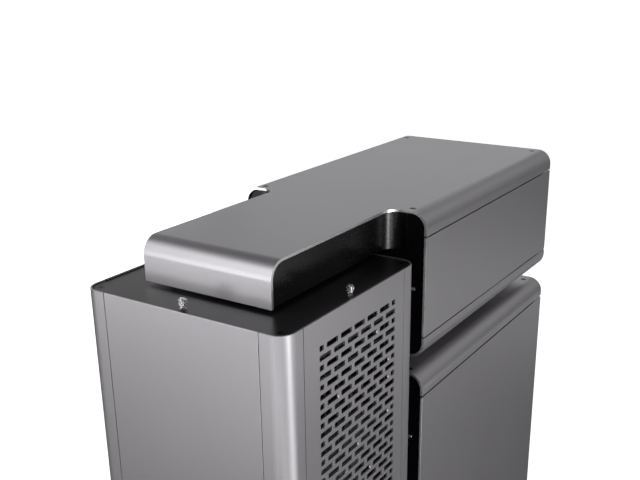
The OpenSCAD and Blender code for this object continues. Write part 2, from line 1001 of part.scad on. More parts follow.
module column_top_plate() {
    color([0.05, 0.05, 0.055])
        difference() {
            union() {
                translate([0, 0, z_cap_low])
                    linear_extrude(cap_t)
                        cap_outline();
                for (place = ["front", "right", "left"])
                    translate([0, 0, z_cap_low])
                        at_thumb(place)
                            clamp_bracket();
            }
            for (place = ["front", "right", "left"])
                translate([0, 0, z_cap_low - over])
                    at_thumb(place)
                        cylinder(d = thumb_shank_d + 2 * running, h = cap_t + 2 * over);
            translate([0, 0, z_cap_top])
                at_post_screws()
                    countersink();
            translate([0, y_duct, z_cap_low - over])
                linear_extrude(cap_t + 2 * over)
                    rounded_rect(duct_w, duct_d, duct_r);
        }
}

module column_bottom_plate() {
    z_low = z_column_bottom + cap_sunk;
    sill_half = panel_half - lip_w - seat;
    sill_d_half = panel_d_half - lip_w - seat;
    color([0.05, 0.05, 0.055])
        difference() {
            union() {
                translate([0, 0, z_low])
                    linear_extrude(cap_t)
                        cap_outline();
                translate([-sill_half, y_front_inner, z_low])
                    cube([2 * sill_half, sill_t, cap_t + sill_h]);
                translate([x_right_inner - sill_t, y_column_mid - sill_d_half, z_low])
                    cube([sill_t, 2 * sill_d_half, cap_t + sill_h]);
                translate([x_left_inner + rail_t, y_column_mid - sill_d_half, z_low])
                    cube([sill_t, 2 * sill_d_half, cap_t + sill_h]);
            }
            for (side = [-1, 1]) {
                translate([side * column_stud_share * sill_half, y_front_inner - over, z_column_stud])
                    rotate([-90, 0, 0])
                        cylinder(d = stud_d + 2 * running, h = sill_t + 2 * over);
                for (x = [x_right_inner - sill_t - over, x_left_inner + rail_t - over])
                    translate([x, y_column_mid + side * column_stud_share * sill_d_half, z_column_stud])
                        rotate([0, 90, 0])
                            cylinder(d = stud_d + 2 * running, h = sill_t + 2 * over);
            }
            translate([0, 0, z_low])
                at_post_screws()
                    mirror([0, 0, 1])
                        countersink();
            translate([0, y_duct, z_low - over])
                linear_extrude(cap_t + 2 * over)
                    rounded_rect(duct_w, duct_d, duct_r);
        }
}

// Two tabs that reach past a thumbscrew's shank, on the back of a column panel
module panel_tabs(place, back) {
    translate([0, 0, z_tab])
        at_thumb(place)
            for (side = [0, 1])
                mirror([side, 0, 0])
                    translate([thumb_shank_d / 2 + tab_play, back - thumb_inset, 0])
                        cube([tab_w, tab_l, tab_t]);
}

module panel_studs(back, half) {
    for (side = [-1, 1])
        translate([side * column_stud_share * half, back - fuse, 0])
            rotate([-90, 0, 0])
                cylinder(d = stud_d, h = stud_l + fuse - stud_tip);
}

module column_front_panel() {
    color([0.5, 0.49, 0.5]) {
        translate([-panel_half, y_front, z_column_bottom])
            cube([2 * panel_half, skin, z_column_top - z_column_bottom]);
        translate([0, y_front, z_column_stud])
            panel_studs(skin, panel_half - lip_w - seat);
    }
}

module column_front_tabs() {
    color([0.5, 0.49, 0.5])
        panel_tabs("front", skin);
}

module column_vent_tabs() {
    color([0.45, 0.44, 0.45])
        panel_tabs("right", skin);
}

// Rows of slots laid like bricks, clipped to straight side edges
module brick_slots() {
    field_w = (row_slots - 1) * slot_pitch + slot_l;
    intersection() {
        square([field_w, (slot_rows + 1) * row_pitch], center = true);
        for (row = [0 : slot_rows - 1]) {
            shift = (slot_rows - 1 - row) % 2 == 0 ? 0 : slot_pitch / 2;
            level = (row - (slot_rows - 1) / 2) * row_pitch;
            for (i = [0 : row_slots])
                translate([(i - row_slots / 2) * slot_pitch + shift, level])
                    square([slot_l, slot_h], center = true);
        }
    }
}

module column_vent_panel() {
    color([0.45, 0.44, 0.45]) {
        along_x(body_w / 2 - skin, body_w / 2)
            translate([y_column_mid, (z_column_top + z_column_bottom) / 2])
                difference() {
                    square([2 * panel_d_half, z_column_top - z_column_bottom], center = true);
                    translate([slot_back, 0])
                        brick_slots();
                }
        translate([body_w / 2, y_column_mid, z_column_stud])
            rotate([0, 0, 90])
                panel_studs(skin, panel_d_half - lip_w - seat);
    }
}

module column_glass() {
    color([0.08, 0.08, 0.09, 0.7])
        translate([-body_w / 2, y_column_mid - panel_d_half, z_column_bottom])
            cube([glass_t, 2 * panel_d_half, z_column_top - z_column_bottom]);
}

module column_glass_carriers() {
    half = panel_d_half - lip_w - seat - strip_w;
    half_low = panel_d_half - lip_w - strip_w / 2;
    color([0.1, 0.1, 0.1]) {
        panel_tabs("left", glass_t);
        translate([-body_w / 2 + glass_t, y_column_mid - half, z_tab - strip_w])
            cube([rail_t, 2 * half, strip_w - seat]);
        translate([-body_w / 2 + glass_t, y_column_mid - half_low, z_column_stud - sill_h / 2 + seat])
            cube([rail_t, 2 * half_low, sill_h]);
        translate([-body_w / 2, y_column_mid, z_column_stud])
            rotate([0, 0, -90])
                panel_studs(glass_t + rail_t, panel_d_half - lip_w - seat);
    }
}

module column_rear_plate() {
    color([0.5, 0.49, 0.5])
        translate([-panel_half, y_column_rear - skin, z_column_bottom])
            cube([2 * panel_half, skin, z_column_top - z_column_bottom]);
}

module thumbscrew(place) {
    z_thumb_end = thumb_neck_h + thumb_h + thumb_crown_h;
    color([0.75, 0.74, 0.72])
        translate([0, 0, z_cap_top])
            at_thumb(place) {
                difference() {
                    union() {
                        cylinder(d = thumb_neck_d, h = thumb_neck_h + fuse);
                        for (z = [0, thumb_ring_step])
                            translate([0, 0, z])
                                cylinder(d = thumb_ring_d, h = thumb_ring_h);
                        translate([0, 0, thumb_neck_h])
                            cylinder(d = thumb_d, h = thumb_h);
                        translate([0, 0, thumb_neck_h + thumb_h])
                            cylinder(d1 = thumb_crown_d, d2 = thumb_crown_d - thumb_crown_h,
                                     h = thumb_crown_h);
                    }
                    translate([-thumb_crown_d / 2, -thumb_slot / 2, z_thumb_end - thumb_slot])
                        cube([thumb_crown_d, thumb_slot, thumb_slot + over]);
                    for (i = [1 : thumb_ribs])
                        rotate([0, 0, i * 360 / thumb_ribs])
                            translate([thumb_d / 2, 0, thumb_neck_h + thumb_rib_in])
                                cylinder(d = thumb_rib_d, h = thumb_h - 2 * thumb_rib_in);
                }
                translate([0, 0, -cap_t - clamp_drop - clamp_t])
                    cylinder(d = thumb_shank_d, h = cap_t + clamp_drop + clamp_t + fuse);
            }
}

module thumbscrew_front() {
    thumbscrew("front");
}

module thumbscrew_right() {
    thumbscrew("right");
}

module thumbscrew_left() {
    thumbscrew("left");
}

// Fan places, with the fan's axis along z at its centre
module at_front_fan(i) {
    translate([x_fan, y_column_mid, z_fan_first + (i - 1) * (fan_size + fan_gap)])
        rotate([0, 90, 0])
            children();
}

module at_rear_fan() {
    translate([rear_fan_x, y_rear_inner - fan_t, rear_fan_z])
        rotate([-90, 0, 0])
            children();
}

module fan_frame(size) {
    hub_r = hub_share * size / 2;
    bore_r = size / 2 - fan_wall;
    difference() {
        linear_extrude(fan_t)
            difference() {
                rounded_rect(size, size, fan_corner_r);
                circle(bore_r);
                for (sx = [-1, 1], sy = [-1, 1])
                    translate([sx * (size / 2 - fan_hole_inset), sy * (size / 2 - fan_hole_inset)])
                        circle(d = fan_hole_d);
            }
    }
    difference() {
        union() {
            cylinder(r = hub_r, h = motor_t);
            cylinder(d = sleeve_d, h = motor_t + sleeve_h);
            for (i = [0 : 3])
                rotate([0, 0, 45 + 90 * i])
                    translate([0, -strut_w / 2, 0])
                        cube([bore_r + fuse, strut_w, motor_t]);
        }
        translate([0, 0, -over])
            cylinder(d = shaft_d + 2 * running, h = motor_t + sleeve_h + 2 * over);
    }
}

module fan_rotor(size) {
    hub_r = hub_share * size / 2;
    tip_r = size / 2 - fan_wall - tip_gap;
    hub_low = motor_t + hub_gap;
    hub_high = fan_t - hub_margin;
    difference() {
        translate([0, 0, hub_low])
            cylinder(r = hub_r, h = hub_high - hub_low);
        translate([0, 0, hub_low - over])
            cylinder(r = hub_r - hub_wall, h = hub_high - hub_low - hub_wall + over);
    }
    translate([0, 0, hub_gap])
        cylinder(d = shaft_d, h = hub_high - hub_wall - hub_gap + fuse);
    for (i = [1 : fan_blades])
        rotate([0, 0, i * 360 / fan_blades])
            intersection() {
                translate([0, 0, motor_t + blade_margin])
                    difference() {
                        cylinder(r = tip_r, h = fan_t - motor_t - 2 * blade_margin);
                        translate([0, 0, -over])
                            cylinder(r = hub_r - hub_wall / 2, h = fan_t);
                    }
                translate([0, 0, (fan_t + motor_t) / 2])
                    rotate([blade_pitch, 0, 0])
                        rotate([90, 0, 90])
                            linear_extrude(tip_r)
                                intersection() {
                                    translate([0, -blade_arc_r])
                                        difference() {
                                            circle(blade_arc_r + blade_t / 2);
                                            circle(blade_arc_r - blade_t / 2);
                                        }
                                    square([blade_chord, blade_arc_r], center = true);
                                }
            }
}

module front_fan_frames() {
    color([0.07, 0.07, 0.07])
        for (i = [1 : fan_count])
            at_front_fan(i)
                fan_frame(fan_size);
}

module front_fan_rotor_1() {
    color([0.1, 0.1, 0.1])
        at_front_fan(1)
            fan_rotor(fan_size);
}

module front_fan_rotor_2() {
    color([0.1, 0.1, 0.1])
        at_front_fan(2)
            fan_rotor(fan_size);
}

module front_fan_rotor_3() {
    color([0.1, 0.1, 0.1])
        at_front_fan(3)
            fan_rotor(fan_size);
}

module rear_fan_frame() {
    color([0.07, 0.07, 0.07])
        at_rear_fan()
            fan_frame(rear_fan_size);
}

module rear_fan_rotor() {
    color([0.1, 0.1, 0.1])
        at_rear_fan()
            fan_rotor(rear_fan_size);
}

module fan_bracket() {
    z_low = z_column_bottom + cap_depth + sill_h + seat;
    z_high = z_cap_low - clamp_drop - clamp_t - tab_w;
    color([0.06, 0.06, 0.065])
        along_x(x_bracket - bracket_t, x_bracket)
            difference() {
                translate([y_front + bracket_margin, z_low])
                    square([column_d - 2 * bracket_margin, z_high - z_low]);
                for (i = [0 : 2])
                    translate([y_column_mid, z_fan_first + i * (fan_size + fan_gap)]) {
                        circle(fan_size / 2 - fan_wall);
                        for (sx = [-1, 1], sy = [-1, 1])
                            translate([sx, sy] * (fan_size / 2 - fan_hole_inset))
                                circle(d = fan_hole_d);
                    }
            }
}

module dust_filter() {
    z_low = z_column_bottom + cap_depth + sill_h + 2 * seat;
    z_high = z_cap_low - clamp_drop - clamp_t - tab_w;
    half = panel_d_half - lip_w - filter_margin;
    cell_w = (2 * half - 2 * filter_rim + filter_bar) / filter_cols;
    cell_h = (z_high - z_low - 2 * filter_rim + filter_bar) / filter_rows;
    color([0.03, 0.03, 0.03])
        along_x(x_bracket, x_bracket + lip_t)
            difference() {
                translate([y_column_mid - half, z_low])
                    square([2 * half, z_high - z_low]);
                translate([y_column_mid - half + filter_rim, z_low + filter_rim])
                    for (i = [0 : filter_cols - 1], j = [0 : filter_rows - 1])
                        translate([i * cell_w, j * cell_h])
                            square([cell_w - filter_bar, cell_h - filter_bar]);
            }
}

module drive_cage() {
    y0 = y_front_plate + plate_t + front_flange + cage_front_gap;
    x0 = -body_w / 2 + glass_t + cage_inset;
    cage_h = cage_bays * bay_pitch + 2 * cage_wall;
    color([0.07, 0.07, 0.075])
        translate([x0, y0, z_upper + sheet]) {
            difference() {
                cube([cage_l, cage_w, cage_h]);
                translate([-over, cage_wall, cage_wall])
                    cube([cage_l + 2 * over, cage_w - 2 * cage_wall, cage_h - 2 * cage_wall]);
            }
            for (i = [0 : cage_bays - 1], y = [cage_wall - fuse, cage_w - cage_wall - bay_rail_w])
                translate([0, y, cage_wall + i * bay_pitch + bay_rail_w])
                    cube([cage_l, bay_rail_w + fuse, bay_rail_t]);
        }
}

module drive_trays() {
    y0 = y_front_plate + plate_t + front_flange + cage_front_gap + cage_wall + seat;
    x0 = -body_w / 2 + glass_t + cage_inset;
    z0 = z_upper + sheet + cage_wall + bay_rail_w + bay_rail_t + tray_rise;
    tray_w = cage_w - 2 * cage_wall - 2 * seat;
    color([0.09, 0.09, 0.1])
        for (i = [0 : cage_bays - 1])
            translate([x0, y0, z0 + i * bay_pitch]) {
                cube([cage_l, tray_w, tray_floor]);
                for (y = [0, tray_w - tray_wall])
                    difference() {
                        translate([0, y, 0])
                            cube([cage_l, tray_wall, tray_wall_h]);
                        for (x = [cage_l / 4, 3 * cage_l / 4])
                            translate([x, y - over, tray_wall_h / 2 + tray_floor / 2])
                                rotate([-90, 0, 0])
                                    cylinder(d = pin_hole_d, h = tray_wall + 2 * over);
                    }
                translate([-tray_front_t, 0, 0])
                    difference() {
                        cube([tray_front_t + fuse, tray_w, tray_front_h]);
                        translate([-over, tray_w / 4, tray_front_h / 2])
                            cube([tray_front_t + fuse + 2 * over, tray_w / 2, tray_front_h / 3]);
                    }
            }
}

module chamber_bridge() {
    color([0.04, 0.04, 0.045])
        translate([0, bridge_y, z_lower_top])
            linear_extrude(chamber_gap)
                difference() {
                    rounded_rect(bridge_w, bridge_d, bridge_r);
                    rounded_rect(bridge_w - 2 * bridge_wall, bridge_d - 2 * bridge_wall,
                                 bridge_r - bridge_wall);
                }
}

module at_standoffs() {
    for (dy = board_y_steps, dz = board_z_steps)
        translate([tray_x, y_board_hole - dy, z_board_hole - dz])
            children();
}

module motherboard_tray() {
    y0 = y_front_plate + plate_t;
    z0 = z_bottom + sheet;
    z1 = z_lower_top - sheet;
    z_cut = z_board_hole - cutout_h / 2 - grommet_lip;
    color([0.06, 0.06, 0.065])
        difference() {
            union() {
                translate([tray_x, y0 + front_flange, z0])
                    cube([tray_t, y_rear_inner - y0 - front_flange, z1 - z0]);
                translate([tray_x, y0, z0 + plate_t])
                    cube([tray_t, front_flange + fuse, z1 - z0 - 2 * plate_t]);
                for (z = [z0, z1 - tray_t])
                    translate([tray_x, y0 + front_flange, z])
                        cube([tray_flange, y_rear_inner - y0 - front_flange, tray_t]);
            }
            translate([tray_x - over, y_board_hole - (board_y_steps[0] + board_y_steps[1]) / 2, z_cut])
                rotate([90, 0, 90])
                    linear_extrude(tray_t + 2 * over)
                        rounded_rect(cutout_w, cutout_h, cutout_r);
            at_grommets()
                translate([-over, 0, 0])
                    rotate([90, 0, 90])
                        linear_extrude(tray_t + 2 * over)
                            rounded_rect(grommet_w, grommet_h, grommet_r);
            at_standoffs()
                translate([-over, 0, 0])
                    rotate([0, 90, 0])
                        cylinder(d = standoff_stud_d + 2 * running, h = tray_t + 2 * over);
        }
}

module grommet_outline(grow) {
    rounded_rect(grommet_w + 2 * grow, grommet_h + 2 * grow, grommet_r + grow);
}

module at_grommets() {
    for (i = [0 : grommet_count - 1])
        translate([tray_x, y_grommet, z_board_hole - grommet_h / 2 - i * grommet_pitch])
            children();
}

module standoffs() {
    color([0.75, 0.6, 0.3])
        at_standoffs()
            rotate([0, 90, 0])
                difference() {
                    union() {
                        translate([0, 0, -board_lift])
                            cylinder(d = standoff_d, h = board_lift, $fn = 6);
                        cylinder(d = standoff_stud_d, h = tray_t);
                    }
                    translate([0, 0, -board_lift - over])
                        cylinder(d = standoff_bore, h = board_lift);
                }
}

module tray_grommets() {
    color([0.03, 0.03, 0.03])
        at_grommets()
            rotate([90, 0, 90])
                difference() {
                    union() {
                        translate([0, 0, -grommet_t])
                            linear_extrude(grommet_t)
                                grommet_outline(grommet_lip);
                        translate([0, 0, tray_t])
                            linear_extrude(grommet_t)
                                grommet_outline(grommet_lip);
                        translate([0, 0, -fuse])
                            linear_extrude(tray_t + 2 * fuse)
                                rounded_rect(grommet_w - running, grommet_h - running, grommet_r);
                    }
                    translate([0, 0, -grommet_t - over])
                        linear_extrude(tray_t + 2 * grommet_t + 2 * over)
                            grommet_outline(-grommet_wall);
                }
}

module ssd_sleds() {
    z_sled = z_board_hole - sled_h - cutout_h;
    color([0.1, 0.1, 0.1])
        for (i = [0 : sled_count - 1])
            translate([tray_x + tray_t, y_sled, z_sled - i * (sled_h + sled_gap)]) {
                translate([sled_pad_h, 0, 0])
                    difference() {
                        cube([sled_lip, sled_w, sled_h]);
                        translate([sled_t, sled_t, -over])
                            cube([sled_lip, sled_w - 2 * sled_t, sled_h + 2 * over]);
                    }
                for (y = [sled_w / 5, 4 * sled_w / 5], z = [sled_h / 6, 5 * sled_h / 6])
                    translate([0, y, z])
                        rotate([0, 90, 0])
                            cylinder(d = sled_pad_d, h = sled_pad_h + fuse);
            }
}

module card_slots(l, w, x_left) {
    for (i = [0 : slot_count - 1])
        translate([x_left, z_card_first - i * card_pitch - w / 2])
            square([l, w]);
}

// Rings and spokes of the rear fan's opening
module ring_grille() {
    r_out = rear_fan_size / 2 - fan_wall;
    difference() {
        circle(r_out);
        for (r = [grille_hub_d / 2 + ring_pitch : ring_pitch : r_out - ring_w])
            difference() {
                circle(r + ring_w);
                circle(r);
            }
        circle(d = grille_hub_d);
        for (a = [0, 90])
            rotate(a + 45)
                square([2 * r_out, grille_spoke], center = true);
    }
}

module lower_rear_panel() {
    color([0.06, 0.06, 0.065])
        cross_plate(z_bottom, z_lower_top, y_rear_inner, rear_flange, lower_studs, y_stud_rear, -1, [1])
            translate([0, y_rear_inner - over, 0])
                rotate([90, 0, 0])
                    translate([0, 0, -plate_t - 2 * over])
                        linear_extrude(plate_t + 2 * over) {
                            translate([io_right - io_w, z_io_top - io_h])
                                square([io_w, io_h]);
                            card_slots(card_slot_l, card_slot_w, io_right - card_slot_l);
                            translate([rear_fan_x, rear_fan_z]) {
                                ring_grille();
                                for (sx = [-1, 1], sz = [-1, 1])
                                    translate([sx * (rear_fan_size / 2 - fan_hole_inset),
                                               sz * (rear_fan_size / 2 - fan_hole_inset)])
                                        circle(d = fan_hole_d);
                            }
                        }
}

module slot_covers() {
    color([0.1, 0.1, 0.11])
        for (i = [0 : slot_count - 1])
            translate([io_right - card_slot_l - card_cover_over, y_rear_panel + card_cover_t,
                       z_card_first - i * card_pitch - card_cover_w / 2])
                rotate([90, 0, 0])
                    linear_extrude(card_cover_t)
                        difference() {
                            square([card_slot_l + 2 * card_cover_over, card_cover_w]);
                            for (j = [0 : card_vents - 1])
                                translate([card_cover_over + card_vent_in + j * card_slot_l / card_vents,
                                           card_cover_w / 2 - card_vent_w])
                                    for (dz = [0, card_vent_w + running + fuse])
                                        translate([0, dz])
                                            square([card_vent_l, card_vent_w]);
                        }
}

module lower_glass_door() {
    door_h = z_lower_seam_top - z_lower_seam_low - 2 * lower_seam;
    color([0.08, 0.08, 0.09, 0.7])
        difference() {
            translate([-body_w / 2, y_door_front, z_lower_seam_low + lower_seam])
                cube([glass_t, y_door_rear - y_door_front, door_h]);
            translate([-body_w / 2 - over, y_door_front + knob_inset, z_knob])
                rotate([0, 90, 0])
                    cylinder(d = knob_stem_d + 2 * running, h = glass_t + 2 * over);
        }
}

module door_strip() {
    color([0.1, 0.1, 0.1])
        translate([-body_w / 2 + glass_t, y_stud_front - strip_w / 2, z_lower_seam_low + lower_seam])
            cube([rail_t, strip_w, z_lower_seam_top - z_lower_seam_low - 2 * lower_seam]);
}

module door_magnets() {
    color([0.6, 0.6, 0.62])
        for (z = lower_studs)
            translate([x_plate_left, y_stud_front, z])
                rotate([0, 90, 0])
                    cylinder(d = stud_d, h = plate_t + bush_l);
}

// Heights at which the door's knuckles start, below and above
function leaf_levels() = [z_lower_seam_low + lower_seam, z_lower_seam_top - lower_seam - leaf_h];

module door_hinge_leaves() {
    color([0.12, 0.12, 0.12])
        for (z = leaf_levels())
            difference() {
                union() {
                    translate([-body_w / 2 + glass_t, y_axis - leaf_l + knuckle_d / 2, z])
                        cube([rail_t, leaf_l, leaf_h]);
                    translate([x_axis, y_axis, z])
                        cylinder(d = knuckle_d, h = leaf_h);
                    translate([-body_w / 2 + glass_t, y_axis - knuckle_d / 2, z])
                        cube([x_axis + body_w / 2 - glass_t, knuckle_d, leaf_h]);
                }
                translate([x_axis, y_axis, z - over])
                    cylinder(d = hinge_pin_d + 2 * running, h = leaf_h + 2 * over);
            }
}

module door_hinge_pins() {
    z_low = z_bottom + sheet + plate_t;
    z_high = z_lower_top - sheet - plate_t;
    x_pin_leg = bend_r - body_w / 2;
    levels = leaf_levels();
    color([0.55, 0.55, 0.56]) {
        translate([x_axis - hinge_pin_d, y_axis - pin_block_w / 2, z_lower_seam_low - pin_block])
            cube([pin_block_l, pin_block_w, pin_block]);
        translate([x_pin_leg, y_axis - pin_block_w / 2, z_low])
            cube([x_axis - hinge_pin_d + pin_block_l - x_pin_leg, pin_block_w, z_lower_seam_low - z_low]);
        translate([x_axis, y_axis, z_lower_seam_low - fuse])
            cylinder(d = hinge_pin_d, h = levels[0] + leaf_h - seat - z_lower_seam_low + fuse);
        translate([x_axis - hinge_pin_d, y_axis - pin_block_w / 2, z_lower_seam_top])
            cube([pin_block_l, pin_block_w, pin_block]);
        translate([x_pin_leg, y_axis - pin_block_w / 2, z_lower_seam_top])
            cube([x_axis - hinge_pin_d + pin_block_l - x_pin_leg, pin_block_w, z_high - z_lower_seam_top]);
        translate([x_axis, y_axis, levels[1] + seat])
            cylinder(d = hinge_pin_d, h = z_lower_seam_top + fuse - levels[1] - seat);
    }
}

module door_knob() {
    color([0.6, 0.6, 0.62])
        translate([-body_w / 2 - knob_h, y_door_front + knob_inset, z_knob])
            rotate([0, 90, 0]) {
                cylinder(d1 = knob_d - button_out, d2 = knob_d, h = knob_h / 2);
                translate([0, 0, knob_h / 2])
                    cylinder(d = knob_d, h = knob_h / 2);
                cylinder(d = knob_stem_d, h = knob_h + glass_t + knob_inner_t);
                translate([0, 0, knob_h + glass_t])
                    cylinder(d = knob_d, h = knob_inner_t);
            }
}

module foot_bars() {
    color([0.5, 0.49, 0.5])
        for (y = [y_foot_front, y_foot_rear])
            translate([0, y, z_bottom - bar_h])
                difference() {
                    linear_extrude(bar_h) {
                        square([foot_w - bar_w, bar_w], center = true);
                        for (side = [-1, 1])
                            translate([side * (foot_w - bar_w) / 2, 0])
                                circle(d = bar_w);
                    }
                    for (side = [-1, 1])
                        translate([side * (foot_w - bar_w) / 2, 0, -over])
                            cylinder(d = pad_d + 2 * seat, h = pad_recess + over);
                }
}

module foot_pads() {
    color([0.03, 0.03, 0.03])
        for (y = [y_foot_front, y_foot_rear], side = [-1, 1])
            translate([side * (foot_w - bar_w) / 2, y, 0])
                cylinder(d = pad_d, h = z_bottom - bar_h + pad_recess);
}

module cover_screws() {
    color([0.08, 0.08, 0.08]) {
        for (z = [z_top, z_lower_top])
            translate([0, 0, z])
                at_cover_screws()
                    countersunk_screw();
        for (z = [z_upper, z_bottom])
            translate([0, 0, z])
                at_cover_screws()
                    mirror([0, 0, 1])
                        countersunk_screw();
        translate([0, 0, z_cap_top])
            at_post_screws()
                post_screw();
        translate([0, 0, z_column_bottom + cap_sunk])
            at_post_screws()
                mirror([0, 0, 1])
                    post_screw();
    }
}

// A screw of the same head with a thinner end, for the posts
module post_screw() {
    difference() {
        union() {
            translate([0, 0, -cap_t])
                cylinder(d1 = screw_d, d2 = screw_head_d, h = cap_t - screw_sunk);
            translate([0, 0, -screw_l])
                cylinder(d = boss_bore_d - 2 * running, h = screw_l - cap_t + fuse);
        }
        translate([0, 0, -screw_sunk - screw_socket_depth])
            cylinder(d = screw_socket, h = screw_socket_depth + over, $fn = 6);
    }
}

post_front_left();
post_front_right();
post_rear_left();
post_rear_right();
column_top_plate();
column_bottom_plate();
column_front_panel();
column_vent_panel();
column_glass();
column_glass_carriers();
column_rear_plate();
dust_filter();
fan_bracket();
column_front_tabs();
column_vent_tabs();
front_fan_frames();
front_fan_rotor_1();
front_fan_rotor_2();
front_fan_rotor_3();
thumbscrew_front();
thumbscrew_right();
thumbscrew_left();
top_cover();
upper_arm_frame();
arm_collars();
io_board();
power_button();
reset_button();
upper_front_plate();
upper_rear_panel();
upper_bottom_shell();
upper_side_panel();
upper_glass();
upper_glass_rails();
psu_bracket();
drive_cage();
drive_trays();
chamber_bridge();
lower_top_shell();
bottom_cover();
lower_arm_frame();
lower_front_plate();
lower_rear_panel();
lower_side_panel();
lower_glass_door();
door_strip();
door_magnets();
door_hinge_leaves();
door_hinge_pins();
door_knob();
motherboard_tray();
standoffs();
tray_grommets();
ssd_sleds();
slot_covers();
rear_fan_frame();
rear_fan_rotor();
foot_bars();
foot_pads();
cover_screws();
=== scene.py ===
import math

import bpy
from mathutils import Matrix, Vector


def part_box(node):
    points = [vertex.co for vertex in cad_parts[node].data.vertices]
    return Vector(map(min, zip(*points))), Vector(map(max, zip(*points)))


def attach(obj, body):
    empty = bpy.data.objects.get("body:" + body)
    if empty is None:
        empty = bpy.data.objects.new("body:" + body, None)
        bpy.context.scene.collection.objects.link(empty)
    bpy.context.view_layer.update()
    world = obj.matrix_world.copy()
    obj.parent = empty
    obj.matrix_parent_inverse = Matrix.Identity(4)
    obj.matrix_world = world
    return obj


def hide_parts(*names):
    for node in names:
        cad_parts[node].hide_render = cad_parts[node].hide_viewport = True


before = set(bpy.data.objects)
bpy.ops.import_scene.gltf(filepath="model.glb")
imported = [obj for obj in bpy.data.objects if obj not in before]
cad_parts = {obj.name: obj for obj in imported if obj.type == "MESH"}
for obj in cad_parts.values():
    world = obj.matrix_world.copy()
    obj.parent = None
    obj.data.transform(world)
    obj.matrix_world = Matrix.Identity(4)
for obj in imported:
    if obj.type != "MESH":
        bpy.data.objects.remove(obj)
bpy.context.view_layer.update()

MM = 0.001


class Wire:
    """One output of a shader node, with Python's operators standing for Math nodes."""

    def __init__(self, nodes, socket):
        self.nodes = nodes
        self.socket = socket

    def math(self, operation, *others):
        values = dict(enumerate([self, *others]))
        return self.nodes.node("ShaderNodeMath", {"operation": operation}, values)

    def __add__(self, other):
        return self.math("ADD", other)

    __radd__ = __add__

    def __mul__(self, other):
        return self.math("MULTIPLY", other)

    __rmul__ = __mul__

    def __sub__(self, other):
        return self.math("SUBTRACT", other)

    def __rsub__(self, other):
        return self.nodes.node("ShaderNodeMath", {"operation": "SUBTRACT"}, {0: other, 1: self})

    def __truediv__(self, other):
        return self.math("DIVIDE", other)

    def __rtruediv__(self, other):
        return self.nodes.node("ShaderNodeMath", {"operation": "DIVIDE"}, {0: other, 1: self})

    def __gt__(self, other):
        return self.math("GREATER_THAN", other)

    def __lt__(self, other):
        return self.math("LESS_THAN", other)

    def clamped(self):
        return self.math("MAXIMUM", 0.0).math("MINIMUM", 1.0)


class Nodes:
    """The shader nodes of a material or of the world."""

    def __init__(self, tree):
        self.tree = tree

    def set(self, node, socket, value):
        target = node.inputs[socket]
        if isinstance(value, Wire):
            self.tree.links.new(value.socket, target)
        else:
            target.default_value = value

    def node(self, kind, settings=None, values=None, output=0):
        made = self.tree.nodes.new(kind)
        for name, value in (settings or {}).items():
            if name == "stops":
                ramp = made.color_ramp
                while len(ramp.elements) < len(value):
                    ramp.elements.new(1.0)
                for element, (position, colour) in zip(ramp.elements, value):
                    element.position = position
                    element.color = colour
            else:
                setattr(made, name, value)
        for socket, value in (values or {}).items():
            self.set(made, socket, value)
        return Wire(self, made.outputs[output])


class Finish(Nodes):
    """A surface finish: a material with a Principled surface and the nodes that feed it."""

    def __init__(self, name, **sockets):
        self.material = bpy.data.materials.new(name)
        self.material.use_nodes = True
        super().__init__(self.material.node_tree)
        self.surface = self.tree.nodes["Principled BSDF"]
        self.output = self.tree.nodes["Material Output"]
        self._place = None
        self.paint(**sockets)

    def place(self):
        if self._place is None:
            self._place = self.node("ShaderNodeTexCoord", output="Object")
        return self._place

    def axis(self, letter):
        return self.node("ShaderNodeSeparateXYZ", None, {0: self.place()}, letter)

    def stretched(self, scale):
        return self.node("ShaderNodeMapping", None, {"Vector": self.place(), "Scale": scale})

    def noise(self, scale, detail=2.0, uneven=0.5, place=None):
        values = {"Vector": place or self.place(), "Scale": scale, "Detail": detail, "Roughness": uneven}
        return self.node("ShaderNodeTexNoise", None, values, "Fac")

    def shades(self, factor, dark, light):
        stops = [(0.0, (*dark, 1.0)), (1.0, (*light, 1.0))]
        return self.node("ShaderNodeValToRGB", {"stops": stops}, {"Fac": factor}, "Color")

    def relief(self, height, distance):
        values = {"Height": height, "Distance": distance, "Strength": 1.0}
        return self.node("ShaderNodeBump", None, values, "Normal")

    def paint(self, **sockets):
        for socket, value in sockets.items():
            self.set(self.surface, socket.replace("_", " "), value)
        return self.material

    def lit(self):
        """The Principled surface itself, for mixing with another shader."""
        return Wire(self, self.surface.outputs[0])

    def show(self, shader):
        self.set(self.output, "Surface", shader)
        return self.material


def grey(level, tint=(1.0, 1.0, 1.0)):
    return tuple(level * channel for channel in tint)


def shade_range(level, spread, tint=(1.0, 1.0, 1.0)):
    """The darkest and the lightest grey of a finish, each a share away from its level."""
    return grey(level * (1.0 - spread), tint), grey(level * (1.0 + spread), tint)


def bead_blasted(name, level, rough):
    """Anodised aluminium with the fine even grain that glass beads leave."""
    finish = Finish(name, Metallic=0.7)
    grain = finish.noise(1500.0, detail=2.0, uneven=0.6)
    cloud = finish.noise(9.0, detail=2.0)
    tone = (grain * 0.7 + cloud * 0.3).clamped()
    colour = finish.shades(tone, *shade_range(level, 0.1, ANODISE_TINT))
    roughness = finish.noise(700.0) * 0.08 + (rough - 0.04)
    return finish.paint(Base_Color=colour, Roughness=roughness, Normal=finish.relief(grain, 0.04 * MM))


def milled(name, level, rough):
    """A bright cut edge with the fine lines of the cutter."""
    finish = Finish(name, Metallic=1.0)
    lines = finish.noise(900.0, detail=1.0, place=finish.stretched((1.0, 1.0, 6.0)))
    colour = finish.shades(lines, grey(level * 0.92), grey(level))
    roughness = lines * 0.1 + rough
    return finish.paint(Base_Color=colour, Roughness=roughness, Normal=finish.relief(lines, 0.02 * MM))


